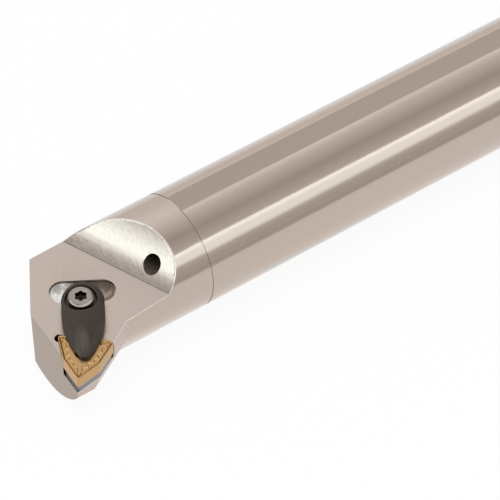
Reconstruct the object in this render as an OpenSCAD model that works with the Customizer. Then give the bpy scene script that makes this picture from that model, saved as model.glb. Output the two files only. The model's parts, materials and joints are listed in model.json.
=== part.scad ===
// Steel boring bar with an indexable six-edged insert, right-hand, with coolant through the bar.
// Origin: centre of the rear end face. +X runs along the bar to the cutting head, +Z is up,
// square to the flats, and the cutting nose points to +Y.

/* [Bar] */
// Diameter of the round bar
shank_d = 38.1; // [32:0.1:46]
// Overall length, rear face to nose
bar_length = 304.8; // [240:0.1:360]
// Distance over the top and bottom flats
across_flats = 37.3; // [36.6:0.1:37.8]
// Length of the full round head section ahead of the flats
head_length = 56.2; // [54:0.1:80]
// Depth of the turned line round the bar where the flats end
ring_depth = 0.25; // [0.2:0.01:0.4]
// Width of that turned line
ring_width = 0.6; // [0.55:0.05:1]
// Chamfer on the rear end
rear_chamfer = 1.5; // [0.5:0.1:3]

/* [Coolant] */
// Bore of the coolant passage
coolant_d = 14.3; // [12:0.1:15.5]
// How far the passage stops short of the nose
coolant_end = 50; // [46:0.5:60]
// Wider threaded mouth at the rear
inlet_d = 17; // [15:0.1:19]
// Depth of that mouth
inlet_depth = 16; // [10:0.5:24]
// Bore of the outlet that sprays the insert
jet_d = 5.6; // [4.5:0.1:6]
// Height of the outlet above the axis, where it leaves the ramp
jet_height = 9.6; // [8.6:0.1:9.8]
// Side position of the outlet on the ramp
jet_side = 9.6; // [8:0.1:11]
// Distance behind the nose where the outlet leaves the ramp
jet_setback = 40.3; // [38:0.1:43]
// Angle of the outlet to the bar, seen from above
jet_turn = 27; // [22:0.5:32]
// Fall of the outlet towards the rear
jet_fall = 4; // [2:0.5:8]

/* [Head] */
// Distance from the bar axis to the cutting nose
reach = 27.5; // [26.5:0.1:29]
// Fall of the rake face towards the front
axial_rake = 5; // [2:0.5:8]
// Fall of the rake face towards the cutting side
radial_rake = 10; // [6:0.5:12]
// How far the milled platform lies below the top of the insert
platform_drop = 0.85; // [0.5:0.05:1.5]
// Slope of the front face, seen from above
front_slope = 4; // [1:0.5:6]
// Set-back of the front face from the nose
front_back = 0.5; // [0.3:0.05:1]
// Slope of the bevel on the side away from the nose
bevel_slope = 34; // [25:1:40]
// Side position where that bevel starts
bevel_start = -0.5; // [-6:0.1:3]
// Chamfer round the front of the bar
front_chamfer = 4; // [2:0.1:6]
// Radius of the eccentric boss under the insert
boss_r = 20.2; // [19.5:0.1:21]
// Offset of the boss towards the cutting side
boss_offset = 9.5; // [8.5:0.1:10.5]
// Rise of the boss's centre above the bar axis
boss_rise = 2.3; // [1.5:0.1:3]
// Where the boss starts to swell, behind the nose
swell_start = 23.6; // [22:0.1:27]
// Half-angle of the swelling cone
swell_angle = 27; // [24:0.5:30]
// Rise of the cone's axis above the bar axis
swell_rise = 0.8; // [0:0.1:2.5]
// Fillet where the cone meets the bar
swell_fillet = 2; // [1:0.5:8]

/* [Chip ramp] */
// Distance behind the nose where the ramp rises from the platform, on the cutting side
ramp_start = 39.4; // [37:0.1:42]
// Turn of the ramp's foot, seen from above
ramp_turn = 21; // [12:0.5:28]
// Steepness of the ramp at its foot
ramp_angle = 38; // [30:0.5:46]
// Radius of its hollow
ramp_r = 60; // [50:1:90]

/* [Insert] */
// Inscribed circle
insert_ic = 12.7; // [12.5:0.1:13]
// Thickness
insert_t = 4.76; // [4:0.01:5.2]
// Nose radius
nose_r = 0.8; // [0.4:0.1:1.2]
// Centre hole
insert_hole_d = 5.16; // [4.8:0.01:5.4]
// Chamfer at its mouths
hole_chamfer = 0.35; // [0.2:0.05:0.6]
// Depth of the chip groove
groove_depth = 0.4; // [0.2:0.05:0.6]
// Land between the cutting edge and the groove
groove_land = 0.25; // [0.15:0.05:0.5]

/* [Shim] */
// Thickness
shim_t = 3.18; // [2.4:0.01:4]
// How far its edges lie inside the insert's
shim_back = 0.5; // [0.3:0.05:0.8]
// Shank of its screw
shim_screw_d = 3.9; // [3:0.1:4.2]
// Head of its screw
shim_head_d = 6; // [5:0.1:6.4]
// How deep its screw goes below the shim
shim_screw_grip = 7; // [5:0.5:9]

/* [Clamp] */
// Turn of the clamp from the bar axis, seen from above
clamp_turn = 56; // [50:0.5:60]
// Distance from the screw to the tip of the clamp
clamp_reach = 20.2; // [19:0.1:21]
// Widest part
clamp_w = 13.1; // [12:0.1:14]
// Height of the clamp above the platform
clamp_h = 5.2; // [4.6:0.1:6]
// Fall of the clamp's back, as an arc radius
clamp_back_r = 45; // [30:0.5:70]
// Radius of its nose, seen from above
clamp_nose_r = 3; // [2.4:0.1:3.1]
// Thickness of the clamp under the screw head
clamp_seat = 2.2; // [1.6:0.1:2.8]
// Side offset of the clamp's outline from its screw
clamp_side = 0.5; // [0:0.05:0.8]
// Counterbore round the screw head
clamp_bore_d = 9.8; // [9:0.1:10.4]
// Depth of the peg that pulls on the insert's hole
peg_depth = 1.3; // [0.8:0.1:2]
// Diameter of that peg
peg_d = 4.4; // [3.6:0.1:4.7]
// Width of the slot that holds the clamp's heel
slot_w = 8.2; // [7.4:0.1:8.6]
// Length of that slot
slot_l = 20.3; // [18:0.1:22]
// Depth of the ledge inside the slot
slot_ledge = 1.1; // [0.8:0.1:1.6]
// Radius of the trough below the ledge
trough_r = 3.75; // [3.3:0.05:3.85]

/* [Clamp screw] */
// Thread diameter
screw_d = 5; // [4:0.1:5.5]
// Head diameter
screw_head_d = 7.7; // [7:0.1:8.4]
// Head height
screw_head_h = 3.3; // [2.6:0.1:3.6]
// Length under the head
screw_l = 14; // [11:0.5:17]
// Size over the points of the six-lobe socket
socket_d = 4.1; // [3.2:0.1:4.6]
// Wire of the lifting spring
wire_d = 0.6; // [0.4:0.05:0.7]
// Outer diameter of the lifting spring
spring_d = 6.8; // [6.4:0.1:7.1]
// Coils of the lifting spring
spring_turns = 4; // [3:1:5]

/* [Hidden] */
fine = 96;
bar_r = shank_d / 2;
big = 2 * shank_d;
fit_gap = 0.05;      // round parts that pass through one another
move_gap = 0.15;     // parts that lift away from one another
rest_gap = 0.03;     // faces that press together in use
cone_grow = tan(swell_angle);
// Turn about X that gives the radial rake after the turn about Y
tilt_side = atan(tan(radial_rake) * cos(axial_rake));
front_x = bar_length - front_back;
bevel_x = front_x - (reach - bevel_start) * tan(front_slope);
corner_angle = 80;
nose_turn = 45;
ic_r = insert_ic / 2;
// From the centre of the insert to the centre of its nose arc
nose_out = (ic_r - nose_r) / sin(corner_angle / 2);
// Insert seat, downwards from the rake face
shim_top = -insert_t;
floor_h = -insert_t - shim_t;
// Length of the coolant outlet behind its mouth: past the bar's axis, to the far side of the passage
jet_back_l = (jet_side + coolant_d / 2 - jet_d / 2) / sin(jet_turn);
relief_r = 1.35;
relief_shift = 0.6;
// Slot and screw, in the rake frame
slot_x = -19.35;
slot_y = -24.93;
trough_shift = 0.35;
trough_sink = 0.6;
slot_front_wall = 1.6;
screw_u = slot_w / 2 + slot_front_wall;
screw_x = slot_x + screw_u * cos(clamp_turn) + clamp_side * sin(clamp_turn);
screw_y = slot_y + screw_u * sin(clamp_turn) - clamp_side * cos(clamp_turn);
thread_hole_r = screw_d / 2 + fit_gap;
thread_hole_l = screw_l + 1;
spring_pocket_r = spring_d / 2 + 2 * move_gap;
spring_pocket_h = 3;
clamp_foot = move_gap;
side_arc_r = 25.6;
side_arc_u = 4.5;
clamp_rear_r = clamp_w / 2;
dome_sink = 6;       // depth below the platform of the line that the clamp's dome turns about
under_u = 5.5;       // where the clamp's underside steps up over the insert
peg_root = 0.6;      // how far the peg runs up into the clamp's nose
screw_clear = 0.25;  // round the screw where it passes through the clamp
groove_fall = 2.5;   // run of each slope of the chip groove, for each unit of its depth
ramp_side = 0.98;    // share of the bar's radius at which the ramp's start is measured
hollow_r = 8;
hollow_u = 13.5;
hollow_v = 2.7;
hollow_h = 3.93;
hollow_turn = 23;
hollow_fall = 3;
hollow_lean = 53;
head_bevel = 0.6;
socket_depth = 2;
shim_socket_d = 2.6;
shim_socket_depth = 1.2;

// Places children on the rake face: origin at the centre of the nose arc, +Z square to the face
module rake_frame() {
    translate([bar_length - nose_r, reach - nose_r, 0])
        rotate([-tilt_side, axial_rake, 0]) children();
}

// Places children at the centre of the insert, +X towards the nose
module insert_frame() {
    rake_frame() rotate(nose_turn) translate([-nose_out, 0, 0]) children();
}

// Places children on the screw axis at platform height, +X towards the clamp's tip
module clamp_frame() {
    rake_frame() translate([screw_x, screw_y, -platform_drop]) rotate(clamp_turn) children();
}

// Six-edged outline with three 80 degree corners; r is the inscribed radius
module trigon(r, corner_r) {
    out = (r - corner_r) / sin(corner_angle / 2);
    blunt = r / sin(corner_angle);
    side = 90 - corner_angle / 2;
    union() {
        polygon([for (k = [0:2]) for (p = [
            [out * cos(120 * k) + corner_r * cos(120 * k - side),
             out * sin(120 * k) + corner_r * sin(120 * k - side)],
            [out * cos(120 * k) + corner_r * cos(120 * k + side),
             out * sin(120 * k) + corner_r * sin(120 * k + side)],
            [blunt * cos(120 * k + 60), blunt * sin(120 * k + 60)]]) p]);
        for (k = [0:2]) rotate(120 * k) translate([out, 0]) circle(corner_r, $fn = 32);
    }
}

// Bar
module round_bar() {
    difference() {
        intersection() {
            rotate([0, 90, 0]) cylinder(r = bar_r, h = bar_length, $fn = fine);
            rotate([0, 90, 0]) rotate_extrude($fn = fine) polygon([
                [0, 0], [bar_r - rear_chamfer, 0], [bar_r + 1, rear_chamfer + 1],
                [bar_r + 1, bevel_x - front_chamfer - 1],
                [bar_r - 2 * front_chamfer, bevel_x + front_chamfer],
                [0, bevel_x + front_chamfer]]);
        }
        for (s = [-1, 1]) translate([-1, -big / 2, s > 0 ? across_flats / 2 : -big - across_flats / 2])
            cube([bar_length - head_length + 1, big, big]);
        translate([bar_length - head_length, 0, 0]) rotate([0, 90, 0]) difference() {
            cylinder(r = bar_r + 1, h = ring_width, $fn = fine);
            translate([0, 0, -1]) cylinder(r = bar_r - ring_depth, h = ring_width + 2, $fn = fine);
        }
    }
}

// Cone that swells from the bar towards the nose, kept inside the eccentric boss
module boss() {
    start = bar_length - swell_start;
    lift = (boss_r + boss_offset - bar_r) / cone_grow + 2;
    fillet_back = swell_fillet * tan(swell_angle / 2);
    intersection() {
        translate([start - swell_fillet, boss_offset, boss_rise]) rotate([0, 90, 0])
            cylinder(r = boss_r, h = swell_start + swell_fillet, $fn = fine);
        translate([0, 0, swell_rise]) rotate([0, 90, 0]) rotate_extrude($fn = fine) difference() {
            polygon([[0, start - fillet_back], [bar_r, start - fillet_back],
                     [bar_r + fillet_back * sin(swell_angle), start + fillet_back * cos(swell_angle)],
                     [bar_r + lift * cone_grow, start + lift],
                     [bar_r + lift * cone_grow, bar_length + 1], [0, bar_length + 1]]);
            translate([bar_r + swell_fillet, start - fillet_back]) circle(swell_fillet, $fn = fine);
        }
    }
}

// Everything above the platform and ahead of the chip ramp
module platform_cut() {
    foot_y = nose_r - reach + bar_r * ramp_side;
    rake_frame() translate([-ramp_start, foot_y, -platform_drop]) rotate([90, 0, ramp_turn]) {
        translate([0, 0, -big]) cube([big, big, 2 * big]);
        intersection() {
            translate([ramp_r * sin(ramp_angle), ramp_r * cos(ramp_angle), 0])
                cylinder(r = ramp_r, h = 2 * big, center = true, $fn = 2 * fine);
            translate([-big, 0, -big]) cube([2 * big, big, 2 * big]);
        }
    }
}

module front_cuts() {
    translate([front_x, reach, 0]) rotate(-front_slope) translate([0, -big * 1.5, -big])
        cube([big, 2 * big, 2 * big]);
    translate([bevel_x, bevel_start, 0]) rotate(-bevel_slope) translate([0, -big, -big])
        cube([big, big, 2 * big]);
    // Relief below the side cutting edge, parallel to the insert's flank
    insert_frame() rotate(90 - corner_angle / 2) translate([ic_r - shim_back, -big / 2, -big])
        cube([big, big, 2 * big]);
}

// Seat for the shim and the insert, open to the front and to the cutting side
module insert_pocket() {
    wall_r = ic_r + rest_gap;
    out = wall_r / sin(corner_angle / 2);
    blunt = wall_r / sin(corner_angle);
    insert_frame() translate([0, 0, floor_h]) {
        linear_extrude(big) polygon([
            [-blunt, 0],
            [out * cos(240), out * sin(240)],
            [blunt * cos(300), blunt * sin(300)],
            [big * cos(300), big * sin(300)], [big / 2, 0], [big * cos(60), big * sin(60)],
            [out * cos(120) + big * cos(80), out * sin(120) + big * sin(80)],
            [out * cos(120), out * sin(120)]]);
        // Relief that keeps the spare corner clear of the wall
        rotate(240) translate([nose_out + relief_shift, 0, 0]) cylinder(r = relief_r, h = big, $fn = 32);
        translate([0, 0, -shim_screw_grip - 1])
            cylinder(r = shim_screw_d / 2 + fit_gap, h = big, $fn = 32);
    }
}

// Slot for the clamp's heel: a ledge, and a trough below it
module heel_slot() {
    half = (slot_l - slot_w) / 2;
    clamp_frame() translate([-screw_u, clamp_side, 0]) {
        translate([0, 0, -slot_ledge]) {
            for (s = [-1, 1]) translate([0, s * half, 0]) cylinder(d = slot_w, h = big, $fn = fine);
            translate([-slot_w / 2, -half, 0]) cube([slot_w, 2 * half, big]);
        }
        translate([-trough_shift, 0, -trough_sink]) {
            rotate([90, 0, 0]) cylinder(r = trough_r, h = 2 * half, center = true, $fn = fine);
            for (s = [-1, 1]) translate([0, s * half, 0]) sphere(trough_r, $fn = fine);
        }
    }
}

module clamp_screw_hole() {
    clamp_frame() {
        translate([0, 0, -thread_hole_l]) cylinder(r = thread_hole_r, h = big, $fn = fine);
        translate([0, 0, -spring_pocket_h]) cylinder(r = spring_pocket_r, h = big, $fn = fine);
    }
}

module coolant_passage() {
    translate([-1, 0, 0]) rotate([0, 90, 0])
        cylinder(d = coolant_d, h = bar_length - coolant_end + 1, $fn = fine);
    translate([-1, 0, 0]) rotate([0, 90, 0]) cylinder(d = inlet_d, h = inlet_depth + 1, $fn = fine);
    // Breaks into the top of the passage and runs out through the ramp towards the insert
    translate([bar_length - jet_setback, jet_side, jet_height]) rotate([0, 0, jet_turn])
        rotate([0, 90 - jet_fall, 0]) translate([0, 0, -jet_back_l])
            cylinder(d = jet_d, h = jet_back_l + big / 2, $fn = fine);
}

module bar_body() {
    color("silver") difference() {
        union() {
            round_bar();
            boss();
        }
        platform_cut();
        front_cuts();
        insert_pocket();
        heel_slot();
        clamp_screw_hole();
        coolant_passage();
    }
}

// Carbide seat under the insert
module shim() {
    color("slategray") insert_frame() translate([0, 0, floor_h]) difference() {
        linear_extrude(shim_t) trigon(ic_r - shim_back, nose_r);
        translate([0, 0, -1]) cylinder(r = shim_screw_d / 2 + fit_gap, h = shim_t + 2, $fn = 32);
        translate([0, 0, shim_t - shim_head_d / 2 + shim_screw_d / 2])
            cylinder(r1 = shim_screw_d / 2 + fit_gap, r2 = shim_head_d / 2 + 2 * fit_gap,
                     h = (shim_head_d - shim_screw_d) / 2 + 0.01, $fn = 48);
    }
}

module shim_screw() {
    head_h = (shim_head_d - shim_screw_d) / 2;
    color("dimgray") insert_frame() translate([0, 0, shim_top - fit_gap]) difference() {
        union() {
            translate([0, 0, -head_h])
                cylinder(d1 = shim_screw_d, d2 = shim_head_d, h = head_h, $fn = 48);
            translate([0, 0, -shim_t - shim_screw_grip])
                cylinder(d = shim_screw_d, h = shim_t + shim_screw_grip - head_h / 2, $fn = 48);
        }
        translate([0, 0, -shim_socket_depth]) six_lobe(shim_socket_d, shim_socket_depth + 1);
    }
}

// Two-sided insert with a chip groove round each face
module insert() {
    color("goldenrod") insert_frame() difference() {
        translate([0, 0, -insert_t]) linear_extrude(insert_t) trigon(ic_r, nose_r);
        for (flip = [0, 1]) translate([0, 0, -flip * insert_t]) mirror([0, 0, flip]) chip_groove();
        translate([0, 0, -insert_t - 1]) cylinder(d = insert_hole_d, h = insert_t + 2, $fn = fine);
        for (flip = [0, 1]) translate([0, 0, -flip * insert_t]) mirror([0, 0, flip])
            translate([0, 0, -hole_chamfer]) cylinder(
                d1 = insert_hole_d, d2 = insert_hole_d + 2 * hole_chamfer + 0.02,
                h = hole_chamfer + 0.01, $fn = fine);
    }
}

module chip_groove() {
    outer_r = ic_r - groove_land;
    floor_r = outer_r - groove_fall * groove_depth;
    plateau_r = outer_r - 2 * groove_fall * groove_depth;
    difference() {
        hull() {
            translate([0, 0, 0.01]) linear_extrude(0.01) trigon(outer_r, nose_r);
            translate([0, 0, -groove_depth]) linear_extrude(0.01) trigon(floor_r, nose_r);
        }
        hull() {
            translate([0, 0, -groove_depth - 0.1]) linear_extrude(0.01)
                trigon(plateau_r, nose_r);
            translate([0, 0, 0.02]) linear_extrude(0.01) trigon(plateau_r - groove_depth, nose_r);
        }
    }
}

// Socket of six lobes; size is the distance over their points
module six_lobe(size, depth) {
    lobe_r = size * 0.13;
    linear_extrude(depth) difference() {
        circle(d = size, $fn = 48);
        for (k = [0:5]) rotate(60 * k + 30) translate([size * 0.5, 0]) circle(lobe_r, $fn = 24);
    }
}

// Outline of the clamp seen square to the platform
module clamp_outline() {
    side_y = side_arc_r - clamp_rear_r;
    nose_u = clamp_reach - clamp_nose_r;
    union() {
        circle(clamp_rear_r, $fn = fine);
        intersection() {
            translate([side_arc_u, -side_y]) circle(side_arc_r, $fn = 2 * fine);
            translate([side_arc_u, side_y]) circle(side_arc_r, $fn = 2 * fine);
            union() {
                translate([0, -clamp_w]) square([nose_u + clamp_nose_r * 0.5, 2 * clamp_w]);
                translate([nose_u, 0]) circle(clamp_nose_r, $fn = fine);
            }
        }
    }
}

// Domed back of the clamp, as a shape turned about a line below the platform
module clamp_dome() {
    translate([0, 0, -dome_sink]) rotate([90, 0, 90]) rotate_extrude($fn = 2 * fine) intersection() {
        translate([clamp_h - clamp_back_r + dome_sink, side_arc_u]) circle(clamp_back_r, $fn = 2 * fine);
        translate([0, -clamp_w]) square([big, 3 * clamp_w]);
    }
}

module clamp() {
    color("dimgray") difference() {
        union() {
            clamp_frame() difference() {
                intersection() {
                    translate([0, clamp_side, clamp_foot]) linear_extrude(big) clamp_outline();
                    translate([0, clamp_side, 0]) clamp_dome();
                }
                // Underside of the nose clears the insert's top
                translate([under_u, -clamp_w, -big / 2])
                    cube([big, 2 * clamp_w, big / 2 + platform_drop + rest_gap]);
            }
            clamp_frame() heel();
            // Peg in the insert's hole
            insert_frame() translate([0, 0, -peg_depth])
                cylinder(d = peg_d, h = peg_depth + peg_root, $fn = 48);
        }
        clamp_frame() {
            clamp_screw_bore();
            for (s = [-1, 1]) translate([0, clamp_side, 0]) side_hollow(s);
        }
    }
}

// Rocks in the trough behind the lifting spring
module heel() {
    heel_r = clamp_rear_r - move_gap;
    heel_l = clamp_w - spring_pocket_r - 2 * move_gap;
    translate([0, clamp_side, 0]) intersection() {
        translate([0, 0, -big / 2]) cylinder(r = heel_r, h = big / 2 + clamp_foot + 1, $fn = fine);
        translate([-clamp_w, -clamp_w, -big]) cube([heel_l, 2 * clamp_w, 2 * big]);
        translate([-screw_u - trough_shift, 0, -trough_sink]) rotate([90, 0, 0])
            cylinder(r = trough_r - move_gap, h = 2 * clamp_w, center = true, $fn = fine);
    }
}

module clamp_screw_bore() {
    translate([0, 0, -big / 2]) cylinder(d = screw_d + 2 * screw_clear, h = big, $fn = fine);
    translate([0, 0, clamp_seat]) cylinder(d = clamp_bore_d, h = big, $fn = fine);
}

// Hollow flank of the clamp on side s
module side_hollow(s) {
    translate([hollow_u, s * hollow_v, hollow_h]) rotate([0, hollow_fall, -s * hollow_turn])
        translate([0, s * hollow_r * sin(hollow_lean), hollow_r * cos(hollow_lean)]) rotate([0, 90, 0])
            cylinder(r = hollow_r, h = big, center = true, $fn = fine);
}

module clamp_screw() {
    color("lightgray") clamp_frame() translate([0, 0, clamp_seat + rest_gap]) difference() {
        union() {
            cylinder(d = screw_head_d, h = screw_head_h - head_bevel, $fn = fine);
            translate([0, 0, screw_head_h - head_bevel])
                cylinder(d1 = screw_head_d, d2 = screw_head_d - 2 * head_bevel, h = head_bevel, $fn = fine);
            translate([0, 0, -screw_l]) cylinder(d = screw_d, h = screw_l + 0.1, $fn = fine);
        }
        translate([0, 0, screw_head_h - socket_depth]) six_lobe(socket_d, socket_depth + 1);
    }
}

// Lifting spring round the screw, between the bar and the clamp
function coil_point(a, r, pitch) = [r * cos(a), r * sin(a), pitch * a / 360];
module clamp_spring() {
    low = -spring_pocket_h + wire_d / 2 + fit_gap;
    high = clamp_foot - wire_d / 2 - fit_gap;
    pitch = (high - low) / spring_turns;
    mid_r = spring_d / 2 - wire_d / 2;
    steps = 16 * spring_turns;
    sides = 8;
    points = [for (i = [0:steps]) let (a = i * 360 * spring_turns / steps, c = coil_point(a, mid_r, pitch))
        for (j = [0:sides - 1]) let (b = 360 * j / sides)
            [c[0] + wire_d / 2 * cos(b) * cos(a), c[1] + wire_d / 2 * cos(b) * sin(a),
             c[2] + wire_d / 2 * sin(b)]];
    rings = [for (i = [0:steps - 1]) for (j = [0:sides - 1]) let (k = (j + 1) % sides)
        [i * sides + j, i * sides + k, (i + 1) * sides + k, (i + 1) * sides + j]];
    color("gainsboro") clamp_frame() translate([0, 0, low]) polyhedron(points, concat(rings,
        [[for (j = [0:sides - 1]) sides - 1 - j], [for (j = [0:sides - 1]) steps * sides + j]]));
}

bar_body();
shim();
shim_screw();
insert();
clamp();
clamp_screw();
clamp_spring();
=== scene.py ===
# %% [markdown]
# # A steel boring bar
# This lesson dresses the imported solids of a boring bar: a tool that turns the inside of a hole. The
# solids already have their real size and place. What is left is what the eye asks for: ground and
# brushed steel, a gold coating with its chip breaker, a blackened clamp, and light that shows metal.

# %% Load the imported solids
import json
import math

import bmesh
import bpy
from mathutils import Matrix, Vector


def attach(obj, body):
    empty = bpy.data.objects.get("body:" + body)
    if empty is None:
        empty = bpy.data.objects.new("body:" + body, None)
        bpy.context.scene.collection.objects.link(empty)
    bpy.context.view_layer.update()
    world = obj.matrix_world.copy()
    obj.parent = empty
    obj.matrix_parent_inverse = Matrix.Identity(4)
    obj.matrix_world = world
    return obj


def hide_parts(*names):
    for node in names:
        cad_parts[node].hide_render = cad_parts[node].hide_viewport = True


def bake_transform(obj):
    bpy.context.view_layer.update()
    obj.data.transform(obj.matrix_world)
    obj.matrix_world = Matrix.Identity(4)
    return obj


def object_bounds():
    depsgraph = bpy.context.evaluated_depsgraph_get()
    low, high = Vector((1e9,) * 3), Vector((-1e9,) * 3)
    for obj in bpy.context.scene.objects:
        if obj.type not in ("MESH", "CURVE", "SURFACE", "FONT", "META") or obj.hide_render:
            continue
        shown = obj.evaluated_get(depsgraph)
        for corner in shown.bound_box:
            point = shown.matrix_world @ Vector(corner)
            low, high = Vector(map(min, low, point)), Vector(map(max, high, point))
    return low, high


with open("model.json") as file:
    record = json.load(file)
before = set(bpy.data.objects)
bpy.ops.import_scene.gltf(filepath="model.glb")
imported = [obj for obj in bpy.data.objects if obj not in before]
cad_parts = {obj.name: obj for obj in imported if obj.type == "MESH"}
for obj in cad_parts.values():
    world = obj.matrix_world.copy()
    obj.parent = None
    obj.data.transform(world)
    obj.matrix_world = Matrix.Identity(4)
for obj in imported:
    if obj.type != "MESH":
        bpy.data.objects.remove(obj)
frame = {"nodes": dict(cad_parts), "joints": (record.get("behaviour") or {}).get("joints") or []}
cad_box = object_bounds()
nodes = frame["nodes"]
joints = {joint["name"]: joint for joint in frame["joints"]}
MM = 0.001
print("solids:", ", ".join(sorted(nodes)))

# %% [markdown]
# ## The camera
# The photograph was taken from above the cutting side with a long lens, so the bar hardly narrows
# towards its far end. Three angles and a distance say where the camera stands. A long lens on a
# 36 mm sensor keeps them easy to read.

# %% Camera
CAMERA_TARGET = Vector((225.365, 6.158, -8.849)) * MM
CAMERA_DISTANCE = 952.558 * MM
CAMERA_SIDE = math.radians(35.776)
CAMERA_RISE = math.radians(41.761)
CAMERA_ROLL = math.radians(-2.089)
LENS = 220.118


def add_camera():
    flat = math.cos(CAMERA_RISE)
    away = Vector((flat * math.sin(CAMERA_SIDE), flat * math.cos(CAMERA_SIDE), math.sin(CAMERA_RISE)))
    data = bpy.data.cameras.new("camera")
    data.lens = LENS
    data.sensor_width = 36
    data.clip_start = 0.05
    camera = bpy.data.objects.new("camera", data)
    bpy.context.scene.collection.objects.link(camera)
    turn = away.to_track_quat("Z", "Y").to_matrix() @ Matrix.Rotation(CAMERA_ROLL, 3, "Z")
    camera.matrix_world = Matrix.Translation(CAMERA_TARGET + away * CAMERA_DISTANCE) @ turn.to_4x4()
    bpy.context.scene.camera = camera
    return camera


camera = add_camera()
print("camera at", [round(v, 4) for v in camera.location])

# %% [markdown]
# ## The axes of the head
# The insert lies tilted two ways, and the platform, the clamp and its screw follow it. The screw's
# joint gives that tilted direction, and the centre of the insert's hole is the other landmark.
# A matrix made from them places every piece that is modelled flat.

# %% Tilted frames of the head
NOSE_RADIUS = 0.8 * MM
BAR_LENGTH = 304.8 * MM
REACH = 27.5 * MM
AXIAL_RAKE = math.radians(5)
RADIAL_RAKE = math.radians(10)
INSERT_TURN = math.radians(45)
CORNER_HALF_ANGLE = math.radians(40)
INSCRIBED_RADIUS = 6.35 * MM
INSERT_THICKNESS = 4.76 * MM
CLAMP_TURN = math.radians(56)

side_tilt = math.atan(math.tan(RADIAL_RAKE) * math.cos(AXIAL_RAKE))
rake_frame = (
    Matrix.Translation((BAR_LENGTH - NOSE_RADIUS, REACH - NOSE_RADIUS, 0))
    @ Matrix.Rotation(AXIAL_RAKE, 4, "Y")
    @ Matrix.Rotation(-side_tilt, 4, "X")
)
nose_out = (INSCRIBED_RADIUS - NOSE_RADIUS) / math.sin(CORNER_HALF_ANGLE)
insert_frame = rake_frame @ Matrix.Rotation(INSERT_TURN, 4, "Z") @ Matrix.Translation((-nose_out, 0, 0))
screw_joint = joints["clamp_screw_turn"]
screw_axis = Vector(screw_joint["axis"]).normalized()
screw_point = Vector(screw_joint["pos_m"])
rake_turn = rake_frame.to_3x3()
rake_up = (rake_turn @ Vector((0, 0, 1))).normalized()
clamp_frame = Matrix.Translation(screw_point) @ rake_turn.to_4x4() @ Matrix.Rotation(CLAMP_TURN, 4, "Z")
print("tilt error", round(screw_axis.angle(rake_up), 5))

# %% [markdown]
# ## The studio
# Polished metal shows its surroundings more than its own colour, so the room is part of the finish. Here
# the bar lies on a white table, and a paper tunnel stands over it that only reflections see: pale
# overhead, dimmer at the shoulders, with one long lit strip on the camera's side. That strip is the bright
# band along the shank. A lit sheet beyond the head does the same for the chip ramp, and a grey card on the
# table gives the darker zone low on the bar. The brightness of the paper was set by comparing
# colours with the photograph, so it suits this view best.

# %% Floor and sky
FLOOR_SIZE = 8.0
FLOOR_WHITE = 0.93
FLOOR_GREY = 0.9
SKY_STRENGTH = 0.8
STAGE_MIDDLE = 0.2
SEEN_RAYS = ["Is Camera Ray", "Is Glossy Ray", "Is Transmission Ray"]
floor_height = cad_box[0][2]


def new_material(name):
    material = bpy.data.materials.new(name)
    material.use_nodes = True
    material.node_tree.nodes.clear()
    return material, material.node_tree.nodes, material.node_tree.links


def any_ray(nodes_, links_, kinds):
    """1 for the rays of these kinds, else 0."""
    path = nodes_.new("ShaderNodeLightPath")
    total = path.outputs[kinds[0]]
    for kind in kinds[1:]:
        add = nodes_.new("ShaderNodeMath")
        add.operation = "MAXIMUM"
        links_.new(total, add.inputs[0])
        links_.new(path.outputs[kind], add.inputs[1])
        total = add.outputs[0]
    return total


def math_node(nodes_, links_, operation, first, second):
    """A Math node; each input is a socket or a number."""
    node = nodes_.new("ShaderNodeMath")
    node.operation = operation
    for place, value in enumerate((first, second)):
        if isinstance(value, (int, float)):
            node.inputs[place].default_value = value
        else:
            links_.new(value, node.inputs[place])
    return node.outputs[0]


def floor_material():
    material, nodes_, links_ = new_material("pale_floor")
    out = nodes_.new("ShaderNodeOutputMaterial")
    mix = nodes_.new("ShaderNodeMixShader")
    lit = nodes_.new("ShaderNodeBsdfDiffuse")
    white = nodes_.new("ShaderNodeEmission")
    lit.inputs["Color"].default_value = (FLOOR_GREY, FLOOR_GREY, FLOOR_GREY, 1)
    seen = any_ray(nodes_, links_, SEEN_RAYS)
    links_.new(math_node(nodes_, links_, "MULTIPLY", seen, FLOOR_WHITE), mix.inputs[0])
    links_.new(lit.outputs[0], mix.inputs[1])
    links_.new(white.outputs[0], mix.inputs[2])
    links_.new(mix.outputs[0], out.inputs[0])
    return material


def flat_sheet(size_x, size_y):
    """A mesh of one flat sheet of that size, level and in the middle of the scene."""
    bm = bmesh.new()
    bmesh.ops.create_grid(bm, x_segments=1, y_segments=1, size=0.5)
    bmesh.ops.scale(bm, vec=(size_x, size_y, 1), verts=bm.verts)
    return bm


def stage_object(bm, name, material):
    mesh = bpy.data.meshes.new(name)
    bm.to_mesh(mesh)
    bm.free()
    mesh.materials.append(material)
    obj = bpy.data.objects.new(name, mesh)
    bpy.context.scene.collection.objects.link(obj)


def add_sky():
    world = bpy.data.worlds.new("sky")
    world.use_nodes = True
    nodes_, links_ = world.node_tree.nodes, world.node_tree.links
    nodes_.clear()
    out = nodes_.new("ShaderNodeOutputWorld")
    mix = nodes_.new("ShaderNodeMixShader")
    soft = nodes_.new("ShaderNodeBackground")
    white = nodes_.new("ShaderNodeBackground")
    soft.inputs["Strength"].default_value = SKY_STRENGTH
    links_.new(any_ray(nodes_, links_, SEEN_RAYS), mix.inputs[0])
    links_.new(soft.outputs[0], mix.inputs[1])
    links_.new(white.outputs[0], mix.inputs[2])
    links_.new(mix.outputs[0], out.inputs[0])
    bpy.context.scene.world = world


bm = flat_sheet(FLOOR_SIZE, FLOOR_SIZE)
bmesh.ops.translate(bm, vec=(STAGE_MIDDLE, 0, floor_height), verts=bm.verts)
stage_object(bm, "floor", floor_material())
add_sky()
bpy.context.scene.view_settings.view_transform = "Standard"

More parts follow.
